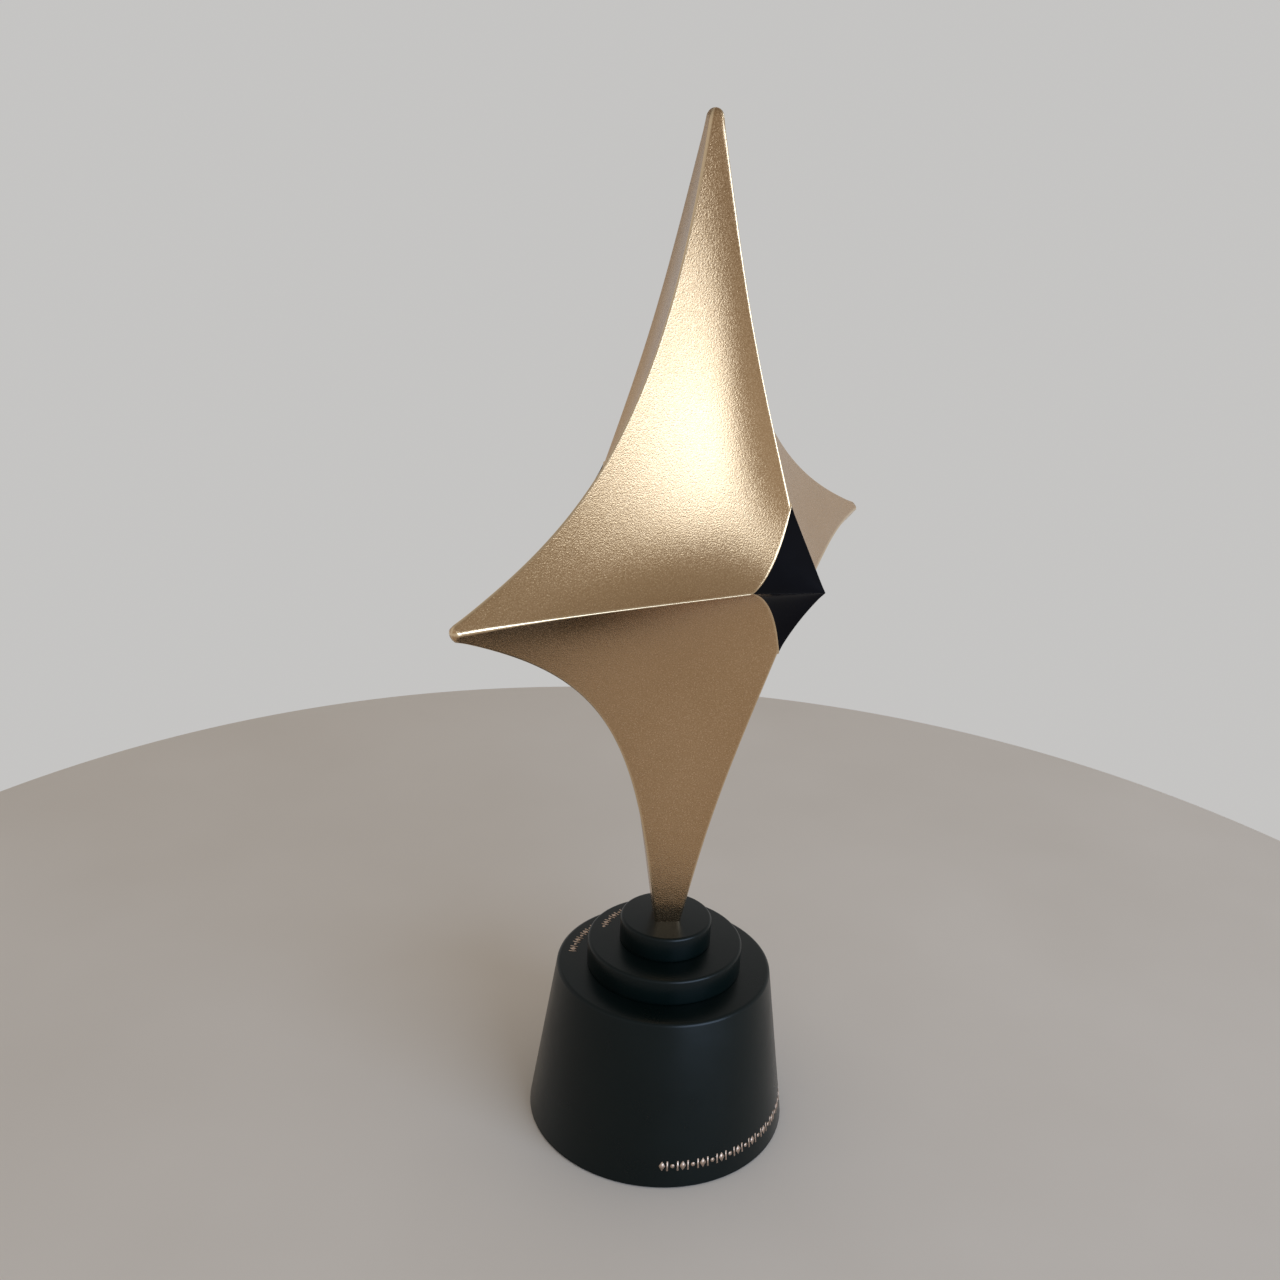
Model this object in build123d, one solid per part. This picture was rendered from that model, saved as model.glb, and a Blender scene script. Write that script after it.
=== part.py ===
from build123d import *
from dataclasses import dataclass
import os

# Star trophy: a hollow gold star with six points, standing on a black plinth of three round steps.
# The front and back points are black pyramids set on flats of the star.
# Millimetres. +Z is up, the front faces -Y, and the origin is the middle of the underside.

# ---------------------------------------------------------------- driving dimensions
total_height = 300.0
star_centre_z = 183.0

# Plinth: a tapered block and two thinner steps, all round
block_bottom_radius = 40.5
block_bottom_z = 0.2
block_top_radius = 33.0
block_top_z = 52.5
middle_step_radius = 23.8
middle_step_top_z = 60.8
top_step_radius = 14.0
top_step_top_z = 68.8
block_bottom_rounding = 0.5
block_top_rounding = 1.2
step_rounding = 0.9
step_foot_rounding = 0.4
pad_radius = 36.0
pad_thickness = 1.5
pad_gap = 0.1

# Ballast plate let into the block above the pad, with a pocket for the lower nut
plate_radius = 29.9
plate_thickness = 9.0
plate_gap = 0.1
nut_pocket_radius = 8.0
nut_pocket_depth = 6.5

# Tie stud from the plate up into the star's foot, thread M4
stud_radius = 1.98
stud_bottom_z = 2.2
stud_top_z = 95.0
thread_hole_radius = 2.0
stud_clearance_radius = 2.5
foot_bore_radius = 2.15
nut_across_flats = 7.0
nut_height = 3.2
flat_washer_radius = 5.0
flat_washer_thickness = 1.0
spring_washer_radius = 3.6
spring_washer_thickness = 1.0
spring_washer_gap = 0.8
foot_nut_bottom_z = 88.0
foot_nut_play = 0.1

# Dowels between the plinth's pieces
step_dowel_play = 0.05
middle_dowel_radius = 2.5
middle_dowel_length = 12.0
middle_dowel_depth_below = 7.0
middle_dowel_offset = 16.0
top_dowel_radius = 2.0
top_dowel_length = 8.0
top_dowel_depth_below = 4.0
top_dowel_offset = 8.5

# Star: how the points end, and what the cavity leaves of them
# A nose is half an egg: its half-width along Y, its half-width the other way and its length
side_reach = 89.8
top_nose = (3.0, 2.0, 3.4)
side_nose = (2.6, 3.0, 3.4)
cavity_top_z = 88.0
cavity_bottom_z = -84.0
cavity_side_x = 66.0
shell_dowel_radius = 1.0
shell_dowel_length = 6.0
shell_dowel_play = 0.03
top_shell_dowel_z = 96.0
side_shell_dowel_x = 74.0

# Black cap on each flat, held by an M3 socket screw from inside the star
cap_apex_y = 44.7
cap_inset = 0.975
cap_hollow = (1.2, 0.8)  # how far the lower ridge's middle control point is drawn in, along Y and Z
spigot_radius = 4.5
spigot_length = 2.5
spigot_play = 0.05
cap_screw_radius = 1.48
cap_screw_hole_radius = 1.5
cap_screw_clearance = 1.7
cap_screw_reach_y = 38.0
cap_screw_hole_y = 39.0
cap_screw_head_radius = 2.75
cap_screw_head_height = 3.0
cap_screw_socket_flats = 2.5
cap_screw_socket_depth = 1.5
cap_washer_radius = 3.5
cap_washer_thickness = 0.5


@dataclass
class Ridge:
    """A ridge's bend: its end tangents meet at the knee, and the pulls say how far each reaches to it."""

    knee: tuple
    first_pull: float = 1.0
    last_pull: float = 1.0


@dataclass
class StarForm:
    """Eight dished faces between a star's ridges. All lengths are from the star's centre."""

    top: float  # where the sharp upper point would end
    bottom: float
    side: float
    side_z: float  # how much higher than the star's centre the side points lie
    flat_y: float  # where the flats at the front and back lie
    flat_x: float  # half the flat's width
    flat_top: float  # how far the flat reaches up and down from the star's centre
    flat_bottom: float
    upper_outline: Ridge  # knee as (x, z), from the upper point to a side point
    lower_outline: Ridge
    upper_ridge: Ridge  # knee as (y, z), from the upper point to the flat
    lower_ridge: Ridge
    equator: Ridge  # knee as (x, y, z), from a side point to the flat
    rim: Ridge  # knee as (x, z), the flat's edge from its top or bottom to its side


outer_form = StarForm(
    top=128.0,
    bottom=142.0,
    side=95.5,
    side_z=-0.9,
    flat_y=32.2,
    flat_x=15.4,
    flat_top=21.2,
    flat_bottom=20.1,
    upper_outline=Ridge((13.0, 27.7), 0.935, 0.552),
    lower_outline=Ridge((22.8, 27.3), 0.719, 1.0),
    upper_ridge=Ridge((13.7, 70.2), 1.034, 0.745),
    lower_ridge=Ridge((13.6, 76.4), 0.958, 0.963),
    equator=Ridge((68.8, 7.5, -0.6), 1.032, 0.63),
    rim=Ridge((4.2, 2.6), 0.76, 0.46),
)

# The cavity is a smaller star that leaves a wall of 2 to 3 mm, and 3.7 mm behind the flats
cavity_form = StarForm(
    top=104.2,
    bottom=126.1,
    side=84.5,
    side_z=-0.6,
    flat_y=28.5,
    flat_x=14.5,
    flat_top=18.8,
    flat_bottom=18.8,
    upper_outline=Ridge((15.8, 25.8), 1.0, 0.484),
    lower_outline=Ridge((18.2, 29.3), 0.738, 1.0),
    upper_ridge=Ridge((14.3, 53.2)),
    lower_ridge=Ridge((10.1, 71.6)),
    equator=Ridge((54.9, 9.7, -0.4), 0.82, 0.83),
    rim=Ridge((5.6, 4.2), 0.67, 0.67),
)

# How far each face is hollowed at its four inner control points. The first pair is nearer the upright
# point and the second nearer the side point. In each pair the first is nearer the outline and the
# second nearer the flat. A negative value makes the face fuller there.
upper_dish = ((-0.9, 4.0), (-8.1, 3.8))
lower_dish = ((0.0, 3.0), (-4.0, 2.5))
dish_direction = (0.55, 0.72, 0.42)

upward = (Align.CENTER, Align.CENTER, Align.MIN)


# ---------------------------------------------------------------- star faces
def bend(start, ridge, knee, end):
    """Four control points from start to end for a ridge with the given knee."""
    after_start = start + (knee - start) * ridge.first_pull
    before_end = end + (knee - end) * ridge.last_pull
    return [start, after_start, before_end, end]


def face_sides(form, side, front, level):
    """Control points along the four sides of one face. side, front and level are +1 or -1."""
    outline = form.upper_outline if level > 0 else form.lower_outline
    ridge = form.upper_ridge if level > 0 else form.lower_ridge
    point = Vector(0, 0, form.top if level > 0 else -form.bottom)
    side_point = Vector(side * form.side, 0, form.side_z)
    flat_end = Vector(0, front * form.flat_y, form.flat_top if level > 0 else -form.flat_bottom)
    flat_side = Vector(side * form.flat_x, front * form.flat_y, 0)
    outline_knee = Vector(side * outline.knee[0], 0, level * outline.knee[1])
    ridge_knee = Vector(0, front * ridge.knee[0], level * ridge.knee[1])
    equator_x, equator_y, equator_z = form.equator.knee
    equator_knee = Vector(side * equator_x, front * equator_y, equator_z)
    rim_knee = Vector(side * form.rim.knee[0], front * form.flat_y, level * form.rim.knee[1])
    return (
        bend(point, outline, outline_knee, side_point),
        bend(flat_end, form.rim, rim_knee, flat_side),
        bend(point, ridge, ridge_knee, flat_end),
        bend(side_point, form.equator, equator_knee, flat_side),
    )


def star_face(form, side, front, level):
    """One face of the star, blended between its four sides and hollowed by its dish."""
    outline, rim, ridge, equator = face_sides(form, side, front, level)
    dish = upper_dish if level > 0 else lower_dish
    x_part, y_part, z_part = dish_direction
    outward = Vector(side * x_part, front * y_part, level * z_part).normalized()
    grid = []
    for row in range(4):
        row_part = row / 3
        grid.append([])
        for column in range(4):
            column_part = column / 3
            across = outline[row] * (1 - column_part) + rim[row] * column_part
            along = ridge[column] * (1 - row_part) + equator[column] * row_part
            near = outline[0] * (1 - column_part) + rim[0] * column_part
            far = outline[3] * (1 - column_part) + rim[3] * column_part
            point = across + along - near * (1 - row_part) - far * row_part
            if row in (1, 2) and column in (1, 2):
                point -= outward * dish[row - 1][column - 1]
            grid[-1].append(point)
    return Face.make_bezier_surface(grid)


def half_star(form, front):
    """Solid of the front (-1) or back (+1) half of a star, cut at the plane of its outline."""
    faces = []
    outline_edges = []
    rim_edges = []
    for side in (-1, 1):
        for level in (-1, 1):
            outline, rim, _, _ = face_sides(form, side, front, level)
            faces.append(star_face(form, side, front, level))
            outline_edges.append(Edge.make_bezier(*outline))
            rim_edges.append(Edge.make_bezier(*rim))
    faces.append(Face(Wire(outline_edges)))
    faces.append(Face(Wire(rim_edges)))
    return Solid(Shell(faces))


# ---------------------------------------------------------------- star shells
def nose_cutter(nose, reach, height, direction):
    """What a round nose leaves over at the end of a point that runs along direction."""
    origin = direction * (reach - nose[2]) + Vector(0, 0, height)
    end = Plane(origin=origin, x_dir=Vector(0, 1, 0), z_dir=direction)
    return end * (Box(30, 30, 30, align=upward) - scale(Sphere(1), by=nose))


def cavity(front):
    """Hollow of one half: the smaller star, cut short in the thin points."""
    room = Box(
        2 * cavity_side_x,
        2 * cap_apex_y,
        cavity_top_z - cavity_bottom_z,
        align=upward,
    )
    return half_star(cavity_form, front) & (Pos(0, 0, cavity_bottom_z) * room)


def foot_bore():
    """Stud hole up the foot, with a hexagonal pocket for the trapped nut."""
    foot_z = top_step_top_z - star_centre_z
    bore = Cylinder(foot_bore_radius, cavity_bottom_z - foot_z + 2, align=upward)
    flats = nut_across_flats + 2 * foot_nut_play
    pocket = extrude(hexagon(flats), nut_height + 2 * foot_nut_play)
    pocket_z = foot_nut_bottom_z - foot_nut_play - star_centre_z
    return Pos(0, 0, foot_z - 1) * bore + Pos(0, 0, pocket_z) * pocket


def hexagon(across_flats):
    """Hexagon with the given distance between opposite sides."""
    return RegularPolygon(across_flats / 2, 6, major_radius=False)


def shell_dowel_places():
    """Where the dowels that line the two halves up lie, from the star's centre."""
    return [Pos(0, 0, top_shell_dowel_z), Pos(-side_shell_dowel_x, 0, 0), Pos(side_shell_dowel_x, 0, 0)]


def along_y(radius, start_y, end_y):
    """Cylinder along Y on the Y axis, from start_y to end_y."""
    middle = (start_y + end_y) / 2
    return Pos(0, middle, 0) * Rot(90, 0, 0) * Cylinder(radius, abs(end_y - start_y))


def star_shell(front):
    """Front (-1) or back (+1) casting of the star, in the star's own place on the plinth."""
    foot_z = top_step_top_z - star_centre_z
    shell = half_star(outer_form, front)
    shell -= nose_cutter(top_nose, total_height - star_centre_z, 0, Vector(0, 0, 1))
    for side in (-1, 1):
        shell -= nose_cutter(side_nose, side_reach, outer_form.side_z, Vector(side, 0, 0))
    shell -= Pos(0, 0, foot_z) * Rot(180, 0, 0) * Box(40, 40, 60, align=upward)
    shell -= cavity(front)
    shell -= foot_bore()
    for place in shell_dowel_places():
        hole_end = shell_dowel_length / 2 + 0.1
        shell -= place * along_y(shell_dowel_radius + shell_dowel_play, -hole_end, hole_end)
    flat_y = outer_form.flat_y
    shell -= along_y(spigot_radius + spigot_play, front * (flat_y - spigot_length), front * (flat_y + 1))
    shell -= along_y(cap_screw_clearance, front * (cavity_form.flat_y - 1), front * flat_y)
    return Pos(0, 0, star_centre_z) * shell


def shell_dowels():
    """Three steel dowels across the joint between the halves."""
    half = shell_dowel_length / 2
    pin = Pos(0, 0, star_centre_z) * along_y(shell_dowel_radius, -half, half)
    return Compound(children=[place * pin for place in shell_dowel_places()])


# ---------------------------------------------------------------- caps
def cap_face(base, front, hollow):
    """One side of a cap, from its base edge to its apex. hollow is how much its ridge is drawn in."""
    apex = Vector(0, front * cap_apex_y, 0)
    draw_in = Vector(0, -front * cap_hollow[0], cap_hollow[1])
    middle = [(point + apex) * 0.5 + draw_in * hollow * (1 - i / 3) for i, point in enumerate(base)]
    return Face.make_bezier_surface([base, middle, [apex] * 4])


def cap(front):
    """Black pyramid with hollow-curved sides, and the spigot that centres it on the star."""
    faces = []
    edges = []
    for side in (-1, 1):
        for level in (-1, 1):
            _, rim, _, _ = face_sides(outer_form, side, front, level)
            base = [Vector(p.X * cap_inset, p.Y, p.Z * cap_inset) for p in rim]
            faces.append(cap_face(base, front, 1 if level < 0 else 0))
            edges.append(Edge.make_bezier(*base))
    faces.append(Face(Wire(edges)))
    body = Solid(Shell(faces))
    flat_y = outer_form.flat_y
    body += along_y(spigot_radius, front * (flat_y - spigot_length), front * (flat_y + 0.5))
    body -= along_y(cap_screw_hole_radius, front * (flat_y - spigot_length - 1), front * cap_screw_hole_y)
    return Pos(0, 0, star_centre_z) * body


def cap_screw(front):
    """Socket screw from inside the star into the cap."""
    head_y = cavity_form.flat_y - cap_washer_thickness
    screw = along_y(cap_screw_radius, front * head_y, front * cap_screw_reach_y)
    screw += along_y(cap_screw_head_radius, front * (head_y - cap_screw_head_height), front * head_y)
    socket = extrude(hexagon(cap_screw_socket_flats), cap_screw_socket_depth, both=True)
    screw -= Pos(0, front * (head_y - cap_screw_head_height), 0) * Rot(90, 0, 0) * socket
    return Pos(0, 0, star_centre_z) * screw


def cap_washer(front):
    """Washer under the cap screw's head."""
    inner_y = front * (cavity_form.flat_y - cap_washer_thickness)
    outer_y = front * cavity_form.flat_y
    ring = along_y(cap_washer_radius, inner_y, outer_y) - along_y(cap_screw_clearance, inner_y, outer_y)
    return Pos(0, 0, star_centre_z) * ring


# ---------------------------------------------------------------- plinth
def dowel_pair(radius, length, bottom_z, offset, turn):
    """Two upright dowels on opposite sides of the stud, on the X axis turned by the given angle."""
    pins = []
    for side in (-1, 1):
        pin = Cylinder(radius, length, align=upward)
        pins.append(Rot(0, 0, turn) * Pos(side * offset, 0, bottom_z) * pin)
    return Compound(children=pins)


def middle_step_dowels(play=0.0):
    """Wooden dowels between the block and the middle step."""
    bottom_z = block_top_z - middle_dowel_depth_below
    radius = middle_dowel_radius + play
    return dowel_pair(radius, middle_dowel_length, bottom_z, middle_dowel_offset, 0)


def top_step_dowels(play=0.0):
    """Wooden dowels between the middle step and the top step."""
    bottom_z = middle_step_top_z - top_dowel_depth_below
    return dowel_pair(top_dowel_radius + play, top_dowel_length, bottom_z, top_dowel_offset, 90)


def stud_hole(radius):
    """Hole for the stud through the whole plinth."""
    return Cylinder(radius, top_step_top_z + 1, align=upward)


def base_block():
    """Tapered block with recesses in its underside for the pad and the ballast plate."""
    block = Cone(block_bottom_radius, block_top_radius, block_top_z - block_bottom_z, align=upward)
    block = fillet(block.edges().sort_by(Axis.Z)[-1], block_top_rounding)
    block = fillet(block.edges().sort_by(Axis.Z)[0], block_bottom_rounding)
    block = Pos(0, 0, block_bottom_z) * block
    block -= Cylinder(pad_radius + pad_gap, pad_thickness, align=upward)
    block -= Pos(0, 0, pad_thickness) * Cylinder(plate_radius + plate_gap, plate_thickness, align=upward)
    return block - stud_hole(stud_clearance_radius) - middle_step_dowels(step_dowel_play)


def rounded_disc(radius, height):
    """Disc with both its edges rounded, the upper one more."""
    disc = Cylinder(radius, height, align=upward)
    disc = fillet(disc.edges().sort_by(Axis.Z)[-1], step_rounding)
    return fillet(disc.edges().sort_by(Axis.Z)[0], step_foot_rounding)


def middle_step():
    """Round step on the block."""
    height = middle_step_top_z - block_top_z
    step = rounded_disc(middle_step_radius, height)
    step = Pos(0, 0, block_top_z) * step - stud_hole(stud_clearance_radius)
    return step - middle_step_dowels(step_dowel_play) - top_step_dowels(step_dowel_play)


def top_step():
    """Small round step that the star's foot stands on."""
    height = top_step_top_z - middle_step_top_z
    step = Pos(0, 0, middle_step_top_z) * rounded_disc(top_step_radius, height)
    return step - stud_hole(foot_bore_radius) - top_step_dowels(step_dowel_play)


def base_pad():
    """Soft disc glued into the block's underside. It stands proud of the block and carries it."""
    return Cylinder(pad_radius, pad_thickness, align=upward)


def ballast_plate():
    """Steel disc that weights the plinth and takes the stud's pull."""
    plate = Cylinder(plate_radius, plate_thickness, align=upward)
    plate -= Cylinder(nut_pocket_radius, nut_pocket_depth, align=upward)
    return Pos(0, 0, pad_thickness) * plate - stud_hole(stud_clearance_radius)


# ---------------------------------------------------------------- stud, nuts and washers
def tie_stud():
    """Long stud that clamps the star, the steps, the block and the plate together."""
    stud = Cylinder(stud_radius, stud_top_z - stud_bottom_z, align=upward)
    return Pos(0, 0, stud_bottom_z) * chamfer(stud.edges(), 0.4)


def hex_nut(bottom_z):
    """Hexagon nut with its thread shown as a plain hole, and the corners turned off."""
    corner_radius = nut_across_flats * 0.56
    blank = chamfer(Cylinder(corner_radius, nut_height, align=upward).edges(), 0.3)
    nut = extrude(hexagon(nut_across_flats), nut_height) & blank
    nut -= Cylinder(thread_hole_radius, nut_height, align=upward)
    return Pos(0, 0, bottom_z) * nut


def ring(radius, hole_radius, thickness, top_z):
    """Flat ring with its upper face at top_z."""
    disc = Cylinder(radius, thickness, align=upward) - Cylinder(hole_radius, thickness, align=upward)
    return Pos(0, 0, top_z - thickness) * disc


flat_washer_top_z = pad_thickness + nut_pocket_depth
spring_washer_top_z = flat_washer_top_z - flat_washer_thickness
stud_nut_top_z = spring_washer_top_z - spring_washer_thickness


def spring_washer():
    """Split ring between the flat washer and the nut."""
    split = Box(spring_washer_radius + 1, spring_washer_gap, 30, align=(Align.MIN, Align.CENTER, Align.CENTER))
    return ring(spring_washer_radius, foot_bore_radius, spring_washer_thickness, spring_washer_top_z) - split


# ---------------------------------------------------------------- all pieces
pieces = {
    "base_pad": base_pad(),
    "base_block": base_block(),
    "middle_step": middle_step(),
    "top_step": top_step(),
    "ballast_plate": ballast_plate(),
    "middle_step_dowels": middle_step_dowels(),
    "top_step_dowels": top_step_dowels(),
    "tie_stud": tie_stud(),
    "foot_nut": hex_nut(foot_nut_bottom_z),
    "stud_nut": hex_nut(stud_nut_top_z - nut_height),
    "stud_spring_washer": spring_washer(),
    "stud_washer": ring(flat_washer_radius, foot_bore_radius, flat_washer_thickness, flat_washer_top_z),
    "star_front_shell": star_shell(-1),
    "star_back_shell": star_shell(1),
    "shell_dowels": shell_dowels(),
    "front_cap": cap(-1),
    "back_cap": cap(1),
    "front_cap_screw": cap_screw(-1),
    "back_cap_screw": cap_screw(1),
    "front_cap_washer": cap_washer(-1),
    "back_cap_washer": cap_washer(1),
}

os.makedirs("parts", exist_ok=True)
for name, piece in pieces.items():
    export_step(piece, f"parts/{name}.step")
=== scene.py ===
import math
from dataclasses import dataclass
from functools import partial

import bmesh
import bpy
import numpy as np
from mathutils import Matrix, Vector


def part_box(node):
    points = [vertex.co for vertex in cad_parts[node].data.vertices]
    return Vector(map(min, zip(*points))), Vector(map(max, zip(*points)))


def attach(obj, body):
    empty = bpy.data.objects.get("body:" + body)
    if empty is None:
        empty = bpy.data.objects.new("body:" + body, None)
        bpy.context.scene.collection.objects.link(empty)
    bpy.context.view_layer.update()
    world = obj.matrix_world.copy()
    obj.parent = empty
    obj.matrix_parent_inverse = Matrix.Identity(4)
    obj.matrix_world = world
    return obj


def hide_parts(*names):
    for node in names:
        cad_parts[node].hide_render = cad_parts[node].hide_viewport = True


# Star trophy: a hollow gold star with black front and back points, on a black stepped plinth.
# Blender objects are in metres. Shapes are drawn in millimetres, the star's from its own centre and
# the others from the trophy's origin, and are scaled when they become objects. +Z is up and the
# front faces -Y. Directions round the plinth are angles from the front, positive towards +X.

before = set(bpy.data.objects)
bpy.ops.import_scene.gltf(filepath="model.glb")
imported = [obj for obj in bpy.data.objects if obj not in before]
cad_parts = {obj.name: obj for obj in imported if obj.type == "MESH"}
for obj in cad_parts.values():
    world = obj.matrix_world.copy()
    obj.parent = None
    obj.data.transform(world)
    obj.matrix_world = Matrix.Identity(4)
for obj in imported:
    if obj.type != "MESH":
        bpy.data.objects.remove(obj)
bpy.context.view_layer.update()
MM = 0.001


# ---------------------------------------------------------------- places read from the frame
def low(node):
    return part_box(node)[0] / MM


def high(node):
    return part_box(node)[1] / MM


star_centre_z = (low("front_cap").z + high("front_cap").z) / 2
star_top = high("star_front_shell").z - star_centre_z
side_reach = high("star_front_shell").x
foot_z = high("top_step").z - star_centre_z
cap_apex_y = -low("front_cap").y


# ---------------------------------------------------------------- the star's form
@dataclass
class Ridge:
    """A ridge's bend: its end tangents meet at the knee, and the pulls say how far each reaches to it."""

    knee: tuple
    first_pull: float = 1.0
    last_pull: float = 1.0


@dataclass
class StarForm:
    """Eight dished faces between a star's ridges."""

    top: float  # where the sharp upper point would end
    bottom: float
    side: float
    side_z: float  # how much higher than the star's centre the side points lie
    flat_y: float  # where the flats at the front and back lie
    flat_x: float  # half the flat's width
    flat_top: float  # how far the flat reaches up and down from the star's centre
    flat_bottom: float
    upper_outline: Ridge  # knee as (x, z), from the upper point to a side point
    lower_outline: Ridge
    upper_ridge: Ridge  # knee as (y, z), from the upper point to the flat
    lower_ridge: Ridge
    equator: Ridge  # knee as (x, y, z), from a side point to the flat
    rim: Ridge  # knee as (x, z), the flat's edge from its top or bottom to its side


outer_form = StarForm(
    top=128.0,
    bottom=142.0,
    side=95.5,
    side_z=-0.9,
    flat_y=32.2,
    flat_x=15.4,
    flat_top=21.2,
    flat_bottom=20.1,
    upper_outline=Ridge((13.0, 27.7), 0.935, 0.552),
    lower_outline=Ridge((22.8, 27.3), 0.719, 1.0),
    upper_ridge=Ridge((13.7, 70.2), 1.034, 0.745),
    lower_ridge=Ridge((13.6, 76.4), 0.958, 0.963),
    equator=Ridge((68.8, 7.5, -0.6), 1.032, 0.63),
    rim=Ridge((4.2, 2.6), 0.76, 0.46),
)

cavity_form = StarForm(
    top=104.2,
    bottom=126.1,
    side=84.5,
    side_z=-0.6,
    flat_y=28.5,
    flat_x=14.5,
    flat_top=18.8,
    flat_bottom=18.8,
    upper_outline=Ridge((15.8, 25.8), 1.0, 0.484),
    lower_outline=Ridge((18.2, 29.3), 0.738, 1.0),
    upper_ridge=Ridge((14.3, 53.2)),
    lower_ridge=Ridge((10.1, 71.6)),
    equator=Ridge((54.9, 9.7, -0.4), 0.82, 0.83),
    rim=Ridge((5.6, 4.2), 0.67, 0.67),
)

# Hollowing of each face at its inner control points, and the direction that it is measured along.
# The rows run from the upright point to the side point, the columns from the outline to the flat.
upper_dish = ((-0.9, 4.0), (-8.1, 3.8))
lower_dish = ((0.0, 3.0), (-4.0, 2.5))
dish_direction = (0.55, 0.72, 0.42)

# Where the cavity stops short of the star's points
cavity_top_z = 88.0
cavity_bottom_z = -84.0
cavity_side_x = 66.0

# A nose is half an egg: its half-widths and its length along X, Y and Z
top_nose = (2.0, 3.0, 3.4)
side_nose = (3.4, 2.6, 3.0)

# How wide the softened bands along the ridges are, each side of the ridge
outline_softness = 0.6
ridge_softness = 1.2
equator_softness = 0.4
tip_softness = 0.6  # what is added to them near the tips
tip_stretch = 22.0  # how far from the tips that fades
rim_softness = 0.45
cap_softness = 0.3
least_softness = 1e-6  # not zero, because distances are divided by the width

# How fast the bands narrow towards an end of their ridge: their width over the distance left
tip_taper = 0.11
flat_corner_taper = 2.0
rim_taper = 0.14
cap_taper = 0.12

polish_width = 0.7  # how far from a ridge its polish fades
rim_polish = 0.5  # how polished the flats' rims are, where a ridge is 1

# Bores and recesses, as in the castings
bore_radius = 2.15
nut_pocket_radius = 3.95
nut_clearance = 0.1
nut_pocket_bottom = low("foot_nut").z - nut_clearance - star_centre_z
nut_pocket_top = high("foot_nut").z + nut_clearance - star_centre_z
shell_pin_hole_radius = 1.03
shell_pin_hole_depth = 3.1
shell_pin_places = ((0.0, 96.0), (-74.0, 0.0), (74.0, 0.0))  # (x, z)
spigot_radius = 4.5
spigot_recess_radius = 4.55
spigot_length = 2.5
screw_clearance = 1.7
screw_hole_radius = 1.5
screw_hole_y = 39.0

# The black caps
cap_inset = 0.975  # their base as a part of the flat
cap_hollow = (1.2, 0.8)  # how far the lower ridge's middle control point is drawn in, along Y and Z

# How finely the meshes are divided
outer_cells = 80
cavity_cells = 32
cap_cells = 48
band_columns = 5
hole_cells = 48
plinth_cells = 192
floor_cells = 256

# Angles in degrees above which a crease stays sharp
shell_crease = 50
cap_crease = 35
plinth_crease = 40

least_length = 1e-12  # not zero, because vectors are divided by their lengths


def bend(start, ridge, knee, end):
    """Four control points from start to end for a ridge with the given knee."""
    start, knee, end = np.array(start), np.array(knee), np.array(end)
    after_start = start + (knee - start) * ridge.first_pull
    before_end = end + (knee - end) * ridge.last_pull
    return np.array([start, after_start, before_end, end])


def face_sides(form, side, front, level):
    """Control points along the four sides of one face. side, front and level are +1 or -1."""
    outline = form.upper_outline if level > 0 else form.lower_outline
    ridge = form.upper_ridge if level > 0 else form.lower_ridge
    point = (0, 0, form.top if level > 0 else -form.bottom)
    side_point = (side * form.side, 0, form.side_z)
    flat_end = (0, front * form.flat_y, form.flat_top if level > 0 else -form.flat_bottom)
    flat_side = (side * form.flat_x, front * form.flat_y, 0)
    outline_knee = (side * outline.knee[0], 0, level * outline.knee[1])
    ridge_knee = (0, front * ridge.knee[0], level * ridge.knee[1])
    equator_x, equator_y, equator_z = form.equator.knee
    equator_knee = (side * equator_x, front * equator_y, equator_z)
    rim_knee = (side * form.rim.knee[0], front * form.flat_y, level * form.rim.knee[1])
    return (
        bend(point, outline, outline_knee, side_point),
        bend(flat_end, form.rim, rim_knee, flat_side),
        bend(point, ridge, ridge_knee, flat_end),
        bend(side_point, form.equator, equator_knee, flat_side),
    )


def face_controls(form, side, front, level):
    """Grid of 4 by 4 control points of one face, blended between its sides and hollowed."""
    outline, rim, ridge, equator = face_sides(form, side, front, level)
    rows = np.linspace(0, 1, 4)[:, None, None]
    columns = np.linspace(0, 1, 4)[None, :, None]
    across = outline[:, None] * (1 - columns) + rim[:, None] * columns
    along = ridge[None, :] * (1 - rows) + equator[None, :] * rows
    near = outline[0] * (1 - columns) + rim[0] * columns
    far = outline[3] * (1 - columns) + rim[3] * columns
    grid = across + along - near * (1 - rows) - far * rows
    outward = np.array([side, front, level]) * np.array(dish_direction)
    dish = np.array(upper_dish if level > 0 else lower_dish)
    grid[1:3, 1:3] -= dish[:, :, None] * outward / np.linalg.norm(outward)
    return grid


def curve_weights(steps):
    """Weights of a cubic curve's four control points at each step."""
    t = np.asarray(steps)[:, None]
    return np.hstack([(1 - t) ** 3, 3 * t * (1 - t) ** 2, 3 * t * t * (1 - t), t**3])


def face_grid(form, key, steps):
    """Points of one face, rows from the upright point to the side, columns from the outline to the flat."""
    weights = curve_weights(steps)
    return np.einsum("ui,vj,ijk->uvk", weights, weights, face_controls(form, *key))


def crowded_steps(count):
    """Steps from 0 to 1 that crowd towards both ends, where the ridges are softened."""
    return (1 - np.cos(np.linspace(0, math.pi, count + 1))) / 2


def unit(vectors):
    lengths = np.linalg.norm(vectors, axis=-1, keepdims=True)
    return vectors / np.maximum(lengths, least_length)


# ---------------------------------------------------------------- softened ridges
edges_of_grid = {
    "first_row": (np.s_[0:1, :], np.s_[1:2, :]),
    "last_row": (np.s_[-1:, :], np.s_[-2:-1, :]),
    "first_column": (np.s_[:, 0:1], np.s_[:, 1:2]),
    "last_column": (np.s_[:, -1:], np.s_[:, -2:-1]),
}


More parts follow.
